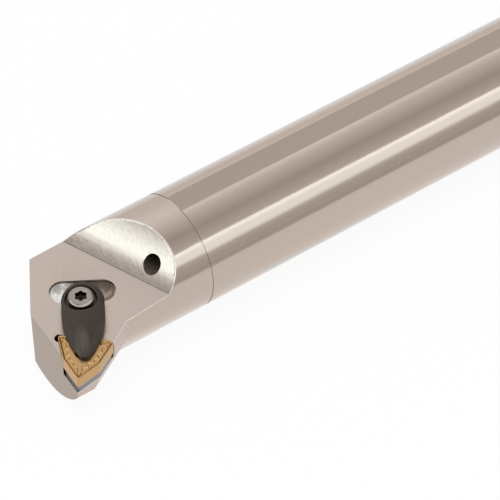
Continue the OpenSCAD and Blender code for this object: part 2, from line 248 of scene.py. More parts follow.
# %% Paper tunnel and end sheet
TUNNEL_RADIUS = 1.6
TUNNEL_LENGTH = 5.0
TUNNEL_STEPS = 60
END_DISTANCE = 1.8
END_SIZE = 3.0
BRIGHTEST = 2.6
HEAD_X = 0.255
# Angle above the table, in degrees from the camera's side over the top, and brightness
TUNNEL_GLOW = (
    (0, 0.62), (14, 0.75), (20, 1.42), (32, 1.42), (39, 2.05), (40.5, 0.78), (52, 0.7), (67, 0.58),
    (85, 0.78), (98, 0.92), (108, 1.0), (118, 1.1), (135, 1.04), (150, 0.95), (180, 0.85),
)
# Angle above the table, seen from the chip ramp, and brightness
END_GLOW = (
    (0, 0.7), (10, 0.8), (13, 1.2), (20, 1.75), (26, 2.3), (28, 2.1), (30.5, 0.75), (36, 0.58), (90, 0.9),
)
# Green and blue against red: a base, its gain with the brightness, and its two limits
COOL_BASE, COOL_GAIN = 0.82, 0.2
COOL_LEAST, COOL_MOST = 0.95, 1.1


def reflected_only(name):
    """A lit material that reflections alone see, with its nodes, its links and its light."""
    material, nodes_, links_ = new_material(name)
    out = nodes_.new("ShaderNodeOutputMaterial")
    mix = nodes_.new("ShaderNodeMixShader")
    clear = nodes_.new("ShaderNodeBsdfTransparent")
    light = nodes_.new("ShaderNodeEmission")
    links_.new(any_ray(nodes_, links_, ["Is Glossy Ray"]), mix.inputs[0])
    links_.new(clear.outputs[0], mix.inputs[1])
    links_.new(light.outputs[0], mix.inputs[2])
    links_.new(mix.outputs[0], out.inputs[0])
    return material, nodes_, links_, light


def glow_material(name, axis, centre, glow):
    """Lit paper whose brightness follows the angle seen from the centre. Bright paper is a little cooler."""
    material, nodes_, links_, light = reflected_only(name)
    light.inputs["Strength"].default_value = BRIGHTEST
    place = nodes_.new("ShaderNodeTexCoord")
    parts = nodes_.new("ShaderNodeSeparateXYZ")
    links_.new(place.outputs["Object"], parts.inputs[0])
    away = math_node(nodes_, links_, "SUBTRACT", parts.outputs[axis], centre)
    turn = math_node(nodes_, links_, "ARCTAN2", parts.outputs["Z"], away)
    half_turns = math_node(nodes_, links_, "DIVIDE", turn, math.pi)
    ramp = nodes_.new("ShaderNodeValToRGB")
    stops = ramp.color_ramp.elements
    for number, (degrees, brightness) in enumerate(glow):
        stop = stops[number] if number < 2 else stops.new(degrees / 180)
        stop.position = degrees / 180
        cool = min(max(COOL_BASE + COOL_GAIN * brightness, COOL_LEAST), COOL_MOST)
        stop.color = (brightness / BRIGHTEST, cool * brightness / BRIGHTEST, cool * brightness / BRIGHTEST, 1)
    links_.new(half_turns, ramp.inputs[0])
    links_.new(ramp.outputs["Color"], light.inputs["Color"])
    return material


bm = bmesh.new()
ends = [bm.verts.new((STAGE_MIDDLE + side * TUNNEL_LENGTH / 2, TUNNEL_RADIUS, 0)) for side in (-1, 1)]
bmesh.ops.spin(
    bm, geom=[bm.edges.new(ends), *ends], axis=(1, 0, 0), cent=(0, 0, 0), angle=math.pi,
    steps=TUNNEL_STEPS, use_merge=False,
)
stage_object(bm, "paper_tunnel", glow_material("tunnel_paper", "Y", 0, TUNNEL_GLOW))

bm = flat_sheet(END_SIZE, END_SIZE)
bmesh.ops.rotate(bm, matrix=Matrix.Rotation(math.pi / 2, 3, "Y"), verts=bm.verts)
bmesh.ops.translate(bm, vec=(HEAD_X + END_DISTANCE, 0, END_SIZE / 2 + floor_height), verts=bm.verts)
stage_object(bm, "end_sheet", glow_material("end_paper", "X", HEAD_X, END_GLOW))

# %% Grey card on the table
CARD_NEAR = 0.13
CARD_GREY = 0.6
CARD_HEIGHT = 0.2 * MM


def card_material():
    material, _, _, light = reflected_only("grey_card")
    light.inputs["Color"].default_value = (CARD_GREY, CARD_GREY, CARD_GREY, 1)
    return material


card_width = TUNNEL_RADIUS - CARD_NEAR
card_place = (STAGE_MIDDLE, CARD_NEAR + card_width / 2, floor_height + CARD_HEIGHT)
bm = flat_sheet(TUNNEL_LENGTH, card_width)
bmesh.ops.translate(bm, vec=card_place, verts=bm.verts)
stage_object(bm, "grey_card", card_material())

# %% Lamp
LAMP_PLACE = (0.4, 0.2, 1.5)
LAMP_SIZE = 1.2
LAMP_POWER = 12

lamp_data = bpy.data.lights.new("soft_lamp", "AREA")
lamp_data.shape = "SQUARE"
lamp_data.size = LAMP_SIZE
lamp_data.energy = LAMP_POWER
lamp = bpy.data.objects.new("soft_lamp", lamp_data)
lamp.location = LAMP_PLACE
lamp.visible_glossy = False
bpy.context.scene.collection.objects.link(lamp)
print("stage: floor, paper_tunnel, end_sheet, grey_card and one lamp")

# %% [markdown]
# ## Surface effects as node groups
# Ground and milled steel differ only in the direction, the scale and the depth of their fine lines.
# One group stretches a noise along one axis and gives a mask. Each steel sets its own values.

# %% Node helpers
NOISE_LOW, NOISE_HIGH = 0.3, 0.7


def principled(name, base, metallic, roughness):
    material, nodes_, links_ = new_material(name)
    out = nodes_.new("ShaderNodeOutputMaterial")
    shader = nodes_.new("ShaderNodeBsdfPrincipled")
    shader.inputs["Base Color"].default_value = (*base, 1)
    shader.inputs["Metallic"].default_value = metallic
    shader.inputs["Roughness"].default_value = roughness
    links_.new(shader.outputs[0], out.inputs[0])
    return material, nodes_, links_, shader


def line_group():
    """Fine parallel lines: noise on object coordinates, squeezed by the Stretch vector."""
    group = bpy.data.node_groups.new("fine_lines", "ShaderNodeTree")
    group.interface.new_socket("Stretch", in_out="INPUT", socket_type="NodeSocketVector")
    group.interface.new_socket("Turn", in_out="INPUT", socket_type="NodeSocketVector")
    group.interface.new_socket("Value", in_out="OUTPUT", socket_type="NodeSocketFloat")
    nodes_, links_ = group.nodes, group.links
    source = nodes_.new("NodeGroupInput")
    result = nodes_.new("NodeGroupOutput")
    place = nodes_.new("ShaderNodeTexCoord")
    turn = nodes_.new("ShaderNodeVectorRotate")
    turn.rotation_type = "EULER_XYZ"
    stretch = nodes_.new("ShaderNodeVectorMath")
    stretch.operation = "MULTIPLY"
    noise = nodes_.new("ShaderNodeTexNoise")
    noise.inputs["Scale"].default_value = 1
    noise.inputs["Detail"].default_value = 4
    links_.new(place.outputs["Object"], turn.inputs["Vector"])
    links_.new(source.outputs["Turn"], turn.inputs["Rotation"])
    links_.new(turn.outputs[0], stretch.inputs[0])
    links_.new(source.outputs["Stretch"], stretch.inputs[1])
    links_.new(stretch.outputs[0], noise.inputs["Vector"])
    links_.new(noise.outputs[0], result.inputs[0])
    return group


fine_lines = line_group()


def lines(nodes_, links_, stretch, turn=(0, 0, 0)):
    group = nodes_.new("ShaderNodeGroup")
    group.node_tree = fine_lines
    group.inputs["Stretch"].default_value = stretch
    group.inputs["Turn"].default_value = turn
    return group.outputs[0]


def spread(nodes_, links_, value, low, high):
    """Brings the middle of the noise to the range low to high."""
    node = nodes_.new("ShaderNodeMapRange")
    node.inputs["From Min"].default_value = NOISE_LOW
    node.inputs["From Max"].default_value = NOISE_HIGH
    node.inputs["To Min"].default_value = low
    node.inputs["To Max"].default_value = high
    links_.new(value, node.inputs["Value"])
    return node.outputs[0]


def tone(nodes_, links_, value, dark, light):
    node = nodes_.new("ShaderNodeMix")
    node.data_type = "RGBA"
    node.inputs["A"].default_value = (*dark, 1)
    node.inputs["B"].default_value = (*light, 1)
    links_.new(value, node.inputs["Factor"])
    return node.outputs["Result"]


def bump(nodes_, links_, shader, height, distance):
    node = nodes_.new("ShaderNodeBump")
    node.inputs["Distance"].default_value = distance
    node.inputs["Strength"].default_value = 1
    links_.new(height, node.inputs["Height"])
    links_.new(node.outputs[0], shader.inputs["Normal"])


def steel(name, base, roughness, stretch, depth=0.002 * MM, contrast=0.06, metallic=1.0, uneven=0.04):
    """Steel with fine parallel lines in its colour, its roughness and its relief."""
    material, nodes_, links_, shader = principled(name, base, metallic, roughness)
    value = lines(nodes_, links_, stretch)
    dark = tuple(c * (1 - contrast) for c in base)
    light = tuple(c * (1 + contrast) for c in base)
    shade = spread(nodes_, links_, value, 0, 1)
    rough = spread(nodes_, links_, value, roughness - uneven, roughness + uneven)
    links_.new(tone(nodes_, links_, shade, dark, light), shader.inputs["Base Color"])
    links_.new(rough, shader.inputs["Roughness"])
    bump(nodes_, links_, shader, value, depth)
    return material


def along(nodes_, links_, frame_, direction, first, last):
    """0 to 1 between two distances along one axis of a tilted frame."""
    axis = (frame_.to_3x3() @ Vector(direction)).normalized()
    start = axis.dot(frame_.translation)
    place = nodes_.new("ShaderNodeTexCoord")
    dot = nodes_.new("ShaderNodeVectorMath")
    dot.operation = "DOT_PRODUCT"
    dot.inputs[1].default_value = axis
    links_.new(place.outputs["Object"], dot.inputs[0])
    node = nodes_.new("ShaderNodeMapRange")
    node.interpolation_type = "SMOOTHSTEP"
    node.inputs["From Min"].default_value = start + first
    node.inputs["From Max"].default_value = start + last
    links_.new(dot.outputs["Value"], node.inputs["Value"])
    return node.outputs[0]


# %% Finishes
STEEL = (0.53, 0.44, 0.38)
OXIDE = (0.031, 0.02, 0.012)
# Paler snout of the clamp: partly real wear, partly a painted highlight
OXIDE_WEAR_AND_SHEEN = (0.09, 0.074, 0.06)
# Painted highlight and painted shade for the two ends of the clamp slot's trough
TROUGH_PAINTED_HIGHLIGHT = (1, 0.98, 0.95)
TROUGH_PAINTED_SHADE = (0.36, 0.28, 0.23)
TROUGH_HALF = 6 * MM
# Paler snout (real wear and a painted highlight), in the clamp's frame: each mask rises between two places
SNOUT_TIP = (9 * MM, 15 * MM)
WEAR_AND_SHEEN_LEFT = (-3 * MM, -1 * MM)
WEAR_AND_SHEEN_RIGHT = (1.5 * MM, 3.5 * MM)


def trough_painted_light():
    """The trough of the clamp slot: a painted highlight at one end, painted shade at the other."""
    material, nodes_, links_, shader = principled("trough_painted_light", (0.7, 0.65, 0.6), 0.35, 0.22)
    side = along(nodes_, links_, clamp_frame, (0, 1, 0), -TROUGH_HALF, TROUGH_HALF)
    links_.new(tone(nodes_, links_, side, TROUGH_PAINTED_HIGHLIGHT, TROUGH_PAINTED_SHADE), shader.inputs["Base Color"])
    bump(nodes_, links_, shader, lines(nodes_, links_, (900, 900, 900)), 0.001 * MM)
    return material


def oxide_with_wear_and_sheen():
    """Black oxide, with paler streaks along the snout: wear where chips rubbed it, and a painted highlight.
    """
    material, nodes_, links_, shader = principled("black_oxide", OXIDE, 0.2, 0.42)
    turn = clamp_frame.to_3x3().inverted().to_euler()
    streaks = spread(nodes_, links_, lines(nodes_, links_, (110, 620, 300), turn), 0, 1)
    tip = along(nodes_, links_, clamp_frame, (1, 0, 0), *SNOUT_TIP)
    left = along(nodes_, links_, clamp_frame, (0, 1, 0), *WEAR_AND_SHEEN_LEFT)
    right = along(nodes_, links_, clamp_frame, (0, 1, 0), *WEAR_AND_SHEEN_RIGHT)
    middle = math_node(nodes_, links_, "SUBTRACT", left, right)
    place = math_node(nodes_, links_, "MULTIPLY", tip, middle)
    wear_and_sheen = math_node(nodes_, links_, "MULTIPLY", place, streaks)
    base = tone(nodes_, links_, streaks, OXIDE, tuple(c * 1.2 for c in OXIDE))
    mix = nodes_.new("ShaderNodeMix")
    mix.data_type = "RGBA"
    mix.inputs["B"].default_value = (*OXIDE_WEAR_AND_SHEEN, 1)
    links_.new(wear_and_sheen, mix.inputs["Factor"])
    links_.new(base, mix.inputs["A"])
    links_.new(mix.outputs["Result"], shader.inputs["Base Color"])
    bump(nodes_, links_, shader, streaks, 0.004 * MM)
    return material


ground_steel = steel("ground_steel", STEEL, 0.12, (300, 300, 9000), depth=0.0003 * MM, contrast=0.02)
flat_steel = steel(
    "flat_steel", (0.39, 0.305, 0.255), 0.28, (60, 1500, 60), depth=0.0, contrast=0.01, uneven=0.003,
)
milled_steel = steel(
    "milled_steel", (0.56, 0.465, 0.41), 0.34, (1500, 1500, 1500), depth=0.001 * MM, contrast=0.03,
)
front_steel = steel("front_steel", (0.43, 0.355, 0.305), 0.4, (1500, 1500, 1500), contrast=0.04)
brushed_steel = steel(
    "brushed_steel", (0.54, 0.475, 0.425), 0.17, (9000, 500, 500), depth=0.0015 * MM, contrast=0.2,
)
# The slot's trough, with its painted highlight and painted shade
pocket_painted_light = trough_painted_light()
# Painted shade on the clamp slot's walls and along the ramp's foot
shade_steel = steel("shade_steel", (0.2, 0.165, 0.14), 0.4, (900, 900, 900))
bore_steel = steel(
    "bore_steel", (0.4, 0.33, 0.27), 0.35, (2500, 700, 700), depth=0.004 * MM, contrast=0.3, metallic=0.85,
)
# Paler than the bar's steel: a painted highlight that keeps the broken edges bright from any side
rim_painted_highlight = steel("rim_painted_highlight", (0.8, 0.75, 0.7), 0.3, (900, 900, 900), contrast=0.1)
black_oxide = oxide_with_wear_and_sheen()
gold_coating = steel(
    "gold_coating", (0.56, 0.345, 0.155), 0.36, (700, 700, 4000), depth=0.001 * MM, contrast=0.05,
)
carbide = steel("carbide", (0.23, 0.235, 0.245), 0.36, (700, 700, 4000), depth=0.001 * MM)
bright_steel = steel("bright_steel", (0.35, 0.295, 0.26), 0.26, (900, 900, 900), contrast=0.05)
# Nearly black: painted shade inside the clamp screw's socket, and the dark steel of the shim screw
dark_steel_and_socket_shade = steel("dark_steel_and_socket_shade", (0.05, 0.045, 0.04), 0.34, (900, 900, 900))

# %% [markdown]
# ## A bar that keeps its solid and gains its edges
# The imported solid of the bar already has every face in its real place. It comes as loose triangles, so
# a copy is joined, and flat faces become single faces again. Each sharp edge then gets a narrow bevel,
# because on real steel it is the broken edge that catches the light; the bevels also get a paler steel, a
# painted highlight that keeps them bright from any side. Each face gets its finish by where it lies: the
# round bar is ground, the platform milled, the chip ramp brushed. The slot's walls and the ramp's foot get
# painted shade, and the slot's trough a painted highlight at one end and painted shade at the other. The
# ramp is a hollow cut that comes as a few flat strips, so it is cut into small cells whose corners go on
# the true hollow.

# %% Joined copies of the solids
MERGE = 0.002 * MM
FLAT_WITHIN = math.radians(0.6)
SHARP = math.radians(24)


def merged_copy(node):
    bm = bmesh.new()
    bm.from_mesh(nodes[node].data)
    bmesh.ops.remove_doubles(bm, verts=bm.verts, dist=MERGE)
    bmesh.ops.dissolve_limit(bm, angle_limit=FLAT_WITHIN, verts=bm.verts, edges=bm.edges)
    return bm


def sharp_edges(bm):
    """Edges that stick out; an inner corner keeps its line."""
    shared = [edge for edge in bm.edges if len(edge.link_faces) == 2 and edge.is_convex]
    return [edge for edge in shared if edge.calc_face_angle(0) > SHARP]


def break_edges(bm, edges, width, finish):
    """Bevels the edges and gives the new faces that finish."""
    made = bmesh.ops.bevel(bm, geom=edges, offset=width, segments=2, profile=0.5, affect="EDGES", material=-1)
    for face in made["faces"]:
        face.material_index = finish


def finish_piece(bm, name, body, slot, materials, *replaced):
    """Makes the mesh a piece on that body, or on no body when none is given."""
    bmesh.ops.recalc_face_normals(bm, faces=bm.faces)
    mesh = bpy.data.meshes.new(name)
    bm.to_mesh(mesh)
    bm.free()
    for material in materials:
        mesh.materials.append(material)
    mesh.shade_smooth()
    mesh.set_sharp_from_angle(angle=SHARP)
    piece = bpy.data.objects.new(name, mesh)
    bpy.context.scene.collection.objects.link(piece)
    if body:
        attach(piece, body)
    if replaced:
        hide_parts(*replaced)
    print(name, len(mesh.polygons), "faces")
    return piece


def even_shading(piece):
    """Large flat faces keep their own direction, so a bevel beside them doesn't bend their light."""
    even = piece.modifiers.new("even_shading", "WEIGHTED_NORMAL")
    even.keep_sharp = True
    even.weight = 100


# %% Finish of each face of the bar
GROUND, FLAT, MILLED, FRONT, BRUSHED, POCKET, BORE, RIM, SHADE = range(9)
SHANK_RADIUS = 19.05 * MM
HEAD_START = BAR_LENGTH - 56 * MM
MILLED_FROM = BAR_LENGTH - 27 * MM
FLAT_HEIGHT = 18.6 * MM
JET_MOUTH = Vector((BAR_LENGTH - 40.3 * MM, 9.6 * MM, 9.6 * MM))
JET_TURN = math.radians(27)
JET_FALL = math.radians(4)
JET_RADIUS = 2.8 * MM
JET_WITHIN = 1.02 * JET_RADIUS
PASSAGE_RADIUS = 8.6 * MM
SLOT_MIDDLE = Vector((-5.7, 0.5, 0)) * MM
SLOT_HALF = Vector((4.3, 10.4, 6)) * MM
SLOT_LEDGE = 1.12 * MM
PASSAGE_END = HEAD_START + 8 * MM
NEAR = 0.1 * MM
# How a face is turned: level, square to the platform, along the jet, or leaning as the ramp does
LEVEL = 0.999
SQUARE = 0.1
ALONG_JET = 0.3
RAMP_FORWARD, RAMP_UP = 0.3, 0.2
EDGES_FROM = HEAD_START + 2 * MM
EDGE_BREAK = 0.24 * MM

jet_turn = Matrix.Rotation(JET_TURN, 3, "Z") @ Matrix.Rotation(math.pi / 2 - JET_FALL, 3, "Y")
jet_line = jet_turn @ Vector((0, 0, 1))


def off_line(point, start, direction):
    away = point - start
    return (away - direction * away.dot(direction)).length


def slot_depth(point):
    """Depth below the platform inside the clamp slot, or 0 elsewhere."""
    place = clamp_frame.inverted() @ point - SLOT_MIDDLE
    inside = abs(place.x) < SLOT_HALF.x and abs(place.y) < SLOT_HALF.y and -SLOT_HALF.z < place.z < -NEAR
    return -place.z if inside else 0


def bar_finish(face):
    middle, normal = face.calc_center_median(), face.normal
    from_axis = math.hypot(middle.y, middle.z)
    if off_line(middle, JET_MOUTH, jet_line) < JET_WITHIN and abs(normal.dot(jet_line)) < ALONG_JET:
        return BORE
    if NEAR < middle.x < PASSAGE_END and from_axis < PASSAGE_RADIUS:
        return BORE
    # The slot's trough: painted highlight at one end, painted shade at the other
    if slot_depth(middle) > SLOT_LEDGE:
        return POCKET
    # The slot's walls: painted shade
    if slot_depth(middle) > 0 and abs(normal.dot(rake_up)) < SQUARE:
        return SHADE
    if normal.dot(rake_up) > LEVEL and middle.x > HEAD_START:
        return MILLED
    is_ramp = normal.x > RAMP_FORWARD and normal.z > RAMP_UP and from_axis < SHANK_RADIUS - NEAR
    if middle.x > HEAD_START and is_ramp:
        return BRUSHED
    if middle.x < HEAD_START and abs(normal.z) > LEVEL and abs(middle.z) > FLAT_HEIGHT:
        return FLAT
    if middle.x > MILLED_FROM:
        return FRONT if normal.x > 0.5 else MILLED
    return GROUND


def is_outer_edge(edge):
    """An edge of the head that catches light: not where platform meets front, nor at a bore or the slot."""
    finishes = {face.material_index for face in edge.link_faces}
    if finishes == {MILLED, FRONT} or finishes & {POCKET, BORE, SHADE}:
        return False
    return max(vert.co.x for vert in edge.verts) > EDGES_FROM


# %% The hollow of the chip ramp
RAMP_START = 39.4 * MM
RAMP_TURN = math.radians(21)
RAMP_ANGLE = math.radians(38)
RAMP_RADIUS = 60 * MM
RAMP_SIDE = 0.98
PLATFORM_DROP = 0.85 * MM
RAMP_CELL = 0.7 * MM
FOOT_LINE = 0.22 * MM
FOOT_TURN = -math.pi / 2 - RAMP_ANGLE
CUT_NEAR = 0.01 * MM


def ramp_frame():
    """Origin on the axis of the hollow, +Z along it."""
    foot = Vector((-RAMP_START, NOSE_RADIUS - REACH + SHANK_RADIUS * RAMP_SIDE, -PLATFORM_DROP))
    turned_frame = Matrix.Rotation(RAMP_TURN, 4, "Z") @ Matrix.Rotation(math.pi / 2, 4, "X")
    centre = Vector((math.sin(RAMP_ANGLE), math.cos(RAMP_ANGLE), 0)) * RAMP_RADIUS
    return rake_frame @ Matrix.Translation(foot) @ turned_frame @ Matrix.Translation(centre)


def cut(bm, index, point, normal):
    """Cuts the faces of one finish along a plane."""
    faces = [face for face in bm.faces if face.material_index == index]
    parts = {item for face in faces for item in (*face.verts, *face.edges)}
    bmesh.ops.bisect_plane(bm, geom=[*faces, *parts], plane_co=point, plane_no=normal, dist=CUT_NEAR)


def turn_of(corner):
    """Turn of a point about the hollow's axis, in the ramp's frame."""
    return math.atan2(corner.y, corner.x)


def plane_at(place, turn):
    """Normal of the plane through the hollow's axis at that turn."""
    return place.to_3x3() @ Vector((-math.sin(turn), math.cos(turn), 0))


def inner_lines(values, step):
    """Places that cut the range of the values into equal cells no wider than step."""
    low, high = min(values), max(values)
    cells = math.ceil((high - low) / step)
    return [low + (high - low) * cell / cells for cell in range(1, cells)]


def darken_foot(bm, place, turns):
    """Painted shade: a dark line along the ramp's foot, in the crease where it meets the platform."""
    foot = min(turns, key=lambda turn: abs(turn - FOOT_TURN))
    top = max(turns, key=lambda turn: abs(turn - FOOT_TURN))
    width = FOOT_LINE / RAMP_RADIUS
    cut(bm, BRUSHED, place.translation, plane_at(place, foot + math.copysign(width, top - foot)))
    back = place.inverted()
    for face in bm.faces:
        if face.material_index == BRUSHED and abs(turn_of(back @ face.calc_center_median()) - foot) < width:
            face.material_index = SHADE


def true_hollow(bm):
    """Cuts the ramp into small cells and lays their corners on the real hollow."""
    place = ramp_frame()
    back = place.inverted()
    hollow = [face for face in bm.faces if face.material_index == BRUSHED]
    bmesh.ops.triangulate(bm, faces=hollow, quad_method="BEAUTY", ngon_method="BEAUTY")
    brushed = [face for face in bm.faces if face.material_index == BRUSHED]
    corners = [back @ vert.co for face in brushed for vert in face.verts]
    turns = [turn_of(corner) for corner in corners]
    for turn in inner_lines(turns, RAMP_CELL / RAMP_RADIUS):
        cut(bm, BRUSHED, place.translation, plane_at(place, turn))
    for depth in inner_lines([corner.z for corner in corners], RAMP_CELL):
        cut(bm, BRUSHED, place @ Vector((0, 0, depth)), place.to_3x3() @ Vector((0, 0, 1)))
    darken_foot(bm, place, turns)
    for vert in bm.verts:
        if all(face.material_index == BRUSHED for face in vert.link_faces):
            corner = back @ vert.co
            off = math.hypot(corner.x, corner.y)
            vert.co = place @ Vector((corner.x * RAMP_RADIUS / off, corner.y * RAMP_RADIUS / off, corner.z))


# %% The bar
bm = merged_copy("bar_body")
for face in bm.faces:
    face.material_index = bar_finish(face)
outer = [edge for edge in sharp_edges(bm) if is_outer_edge(edge)]
print("edges to break:", len(outer))
break_edges(bm, outer, EDGE_BREAK, RIM)
true_hollow(bm)
steels = [
    ground_steel, flat_steel, milled_steel, front_steel, brushed_steel, pocket_painted_light, bore_steel, rim_painted_highlight,
    shade_steel,
]
bar = finish_piece(bm, "steel_bar", "bar", "bar_steel", steels, "bar_body")
even_shading(bar)

# %% [markdown]
# ## The insert
# A trigon insert is pressed from powder and ground, with a chip breaker in its face: a groove behind
# the cutting edge that waves in and out, a ridge towards each nose and a small round pad at its end. A
# narrow land slopes from the edge up to the groove.
# The outline starts as a circle of six points, three of them pulled out to the corners. Rings shrink
# towards the middle in small steps, so there is a mesh for the pressed form to stand in, and each
# point is then lowered by one height rule. The lower face is a mirror image of the upper one.

# %% Rings
NOSE_STEPS = 10


def next_ring(bm, ring, matrix):
    """Extrudes a ring of edges, moves the new ring, and returns its edges."""
    made = bmesh.ops.extrude_edge_only(bm, edges=ring)["geom"]
    verts = {item for item in made if isinstance(item, bmesh.types.BMVert)}
    bmesh.ops.transform(bm, matrix=matrix, verts=list(verts))
    return [item for item in made if isinstance(item, bmesh.types.BMEdge) and set(item.verts) <= verts]


def ring_verts(ring):
    return {vert for edge in ring for vert in edge.verts}


def turned(bm, ring, profile, share=lambda vert: 1):
    """Adds a ring at each (radius, height) of the profile; share scales the radius at each point."""
    for radius, height in profile:
        ring = next_ring(bm, ring, Matrix.Identity(4))
        for vert in ring_verts(ring):
            across = Vector((vert.co.x, vert.co.y)).normalized() * radius * share(vert)
            vert.co = (across.x, across.y, height)
    return ring


def up(distance):
    return Matrix.Translation((0, 0, distance))


def shrink(share):
    return Matrix.Diagonal((share, share, 1, 1))


def trigon_ring(bm, inscribed, nose, cuts):
    """A flat ring: six corners, the three sharp ones rounded, and the sides cut into short edges."""
    verts = bmesh.ops.create_circle(bm, cap_ends=True, segments=6, radius=1)["verts"]
    bmesh.ops.rotate(bm, verts=verts, matrix=Matrix.Rotation(math.radians(-90), 3, "Z"))
    for vert in verts:
        turn = math.degrees(math.atan2(vert.co.y, vert.co.x)) % 120
        is_sharp = min(turn, 120 - turn) < 30
        vert.co *= inscribed / math.sin(CORNER_HALF_ANGLE if is_sharp else 2 * CORNER_HALF_ANGLE)
    sharp = [vert for vert in verts if vert.co.length > 1.2 * inscribed]
    bmesh.ops.bevel(
        bm, geom=sharp, offset=nose / math.tan(CORNER_HALF_ANGLE), segments=NOSE_STEPS,
        profile=0.5, affect="VERTICES", material=-1,
    )
    bmesh.ops.delete(bm, geom=bm.faces[:], context="FACES_ONLY")
    sides = [edge for edge in bm.edges if edge.calc_length() > inscribed / 2]
    bmesh.ops.subdivide_edges(bm, edges=sides, cuts=cuts)
    return bm.edges[:]


# %% Height of the chip breaker
LAND = 0.25 * MM
LAND_FALL = 0.11 * MM
GROOVE = 0.6 * MM
GROOVE_RUN = 0.6 * MM
WALL = 0.72 * MM
PLATEAU = 2.2 * MM
WAVE = 0.42 * MM
WAVE_LENGTH = 2.35 * MM
WAVE_START = 2.6 * MM
PAD_PLACE = 0.6 * MM
PAD_RADIUS = 0.55 * MM
RIDGE_WIDTH = 0.2 * MM
RIDGE_SPREAD = 0.15
RIDGE_FALL = 0.08 * MM
RIDGE_FROM = 4 * MM
RIDGE_SIDE = 0.5 * MM
PAD_TOP = -0.03 * MM
PAD_ROUND = 0.25 * MM
SIDE_TURN = math.pi / 2 - CORNER_HALF_ANGLE


def ease(value, low, high):
    share = min(max((value - low) / (high - low), 0), 1)
    return share * share * (3 - 2 * share)


def edge_place(x, y):
    """Distance in from the nearest side, distance along it from the corner, and place by the bisector."""
    third = math.radians(120)
    turn = round(math.atan2(y, x) / third) * third
    reach = x * math.cos(turn) + y * math.sin(turn)
    off = abs(y * math.cos(turn) - x * math.sin(turn))
    inward = INSCRIBED_RADIUS - reach * math.cos(SIDE_TURN) - off * math.sin(SIDE_TURN)
    side_half = INSCRIBED_RADIUS / math.tan(CORNER_HALF_ANGLE)
    passed = side_half - reach * math.sin(SIDE_TURN) + off * math.cos(SIDE_TURN)
    return inward, passed, reach, off


def breaker_height(x, y):
    inward, passed, reach, off = edge_place(x, y)
    if inward < LAND:
        return -LAND_FALL * (1 - inward / LAND)
    wall = PLATEAU - WAVE * math.cos(2 * math.pi * (passed - WAVE_START) / WAVE_LENGTH)
    climb = min(max((wall - inward) / WALL, 0), 1)
    height = -GROOVE * ease(inward, LAND, LAND + GROOVE_RUN) * climb
    pad_reach = nose_out - PAD_PLACE
    if RIDGE_FROM < reach < pad_reach:
        half = RIDGE_WIDTH + RIDGE_SPREAD * (pad_reach - reach)
        height = max(height, -GROOVE * ease(off, half, half + RIDGE_SIDE) - RIDGE_FALL)
    from_pad = math.hypot(reach - pad_reach, off) / PAD_RADIUS
    if from_pad < 1:
        height = max(height, PAD_TOP - PAD_ROUND * from_pad ** 2)
    return height


# %% The insert
HOLE_RADIUS = 2.58 * MM
HOLE_MOUTH = 2.7 * MM
HONE = 0.03 * MM
RING_STEP = 0.11 * MM
SIDE_CUTS = 26
MOUTH_FALL = 0.35 * MM
HOLE_MARGIN = 0.2 * MM


def insert_half(bm):
    """The upper half, from the middle of the flank over the face and down to the middle of the hole."""
    ring = trigon_ring(bm, INSCRIBED_RADIUS, NOSE_RADIUS, SIDE_CUTS)
    ring = next_ring(bm, ring, up(INSERT_THICKNESS / 2 - HONE - LAND_FALL))
    inward = 0
    lift = HONE + LAND_FALL
    while inward < INSCRIBED_RADIUS - HOLE_MOUTH - HOLE_MARGIN:
        step = HONE if inward == 0 else RING_STEP
        share = (INSCRIBED_RADIUS - inward - step) / (INSCRIBED_RADIUS - inward)
        ring = next_ring(bm, ring, up(lift) @ shrink(share))
        inward += step
        lift = 0
    top = INSERT_THICKNESS / 2
    turned(bm, ring, ((HOLE_MOUTH, top), (HOLE_RADIUS, top - MOUTH_FALL), (HOLE_RADIUS, 0)))


bm = bmesh.new()
insert_half(bm)
bmesh.ops.remove_doubles(bm, verts=bm.verts, dist=MERGE)
for vert in bm.verts:
    if vert.co.z > INSERT_THICKNESS / 2 - HONE / 2 and Vector((vert.co.x, vert.co.y)).length > HOLE_MOUTH:
        vert.co.z += breaker_height(vert.co.x, vert.co.y)
bmesh.ops.mirror(
    bm, geom=bm.verts[:] + bm.edges[:] + bm.faces[:], matrix=Matrix.Identity(4), merge_dist=MERGE, axis="Z",
)
bmesh.ops.transform(bm, matrix=insert_frame @ up(-INSERT_THICKNESS / 2), verts=bm.verts)
finish_piece(bm, "gold_insert", "bar", "gold_coating", [gold_coating], "insert")

# %% [markdown]
# ## The clamp
# The clamp is a small forging, blackened. Its solid has the right outline, dome and hollow flanks, but
# its edges are as sharp as in a drawing. Remeshing the copy with small cubes and smoothing it rounds every
# edge by a few tenths of a millimetre, which is how a forging looks once it has been tumbled.

# %% The clamp
CLAMP_VOXEL = 0.18 * MM
SOFTEN_ROUNDS = 5


def settled(piece):
    """Makes the result of the piece's modifiers its own mesh."""
    graph = bpy.context.evaluated_depsgraph_get()
    mesh = bpy.data.meshes.new_from_object(piece.evaluated_get(graph))
    piece.modifiers.clear()
    piece.data = mesh
    return len(mesh.polygons)


bm = merged_copy("clamp")
clamp = finish_piece(bm, "black_clamp", "clamp", "black_oxide", [black_oxide], "clamp")
cubes = clamp.modifiers.new("cubes", "REMESH")
cubes.mode = "VOXEL"
cubes.voxel_size = CLAMP_VOXEL
cubes.use_smooth_shade = True
soften = clamp.modifiers.new("soften", "SMOOTH")
soften.factor = 0.5
soften.iterations = SOFTEN_ROUNDS
print("clamp faces:", settled(clamp))

# %% [markdown]
# ## The screw, the spring and the shim
# The screw is turned: rings of one radius after another, from its chamfered head down to the thread.
# Its six-lobe socket is a ring whose radius swings in and out six times, pushed down into the head. The
# thread is built as grooves side by side. The spring is a coil whose lower end stays in the bar while its
# upper end goes up with the clamp; here it is built at rest and attached to no body.

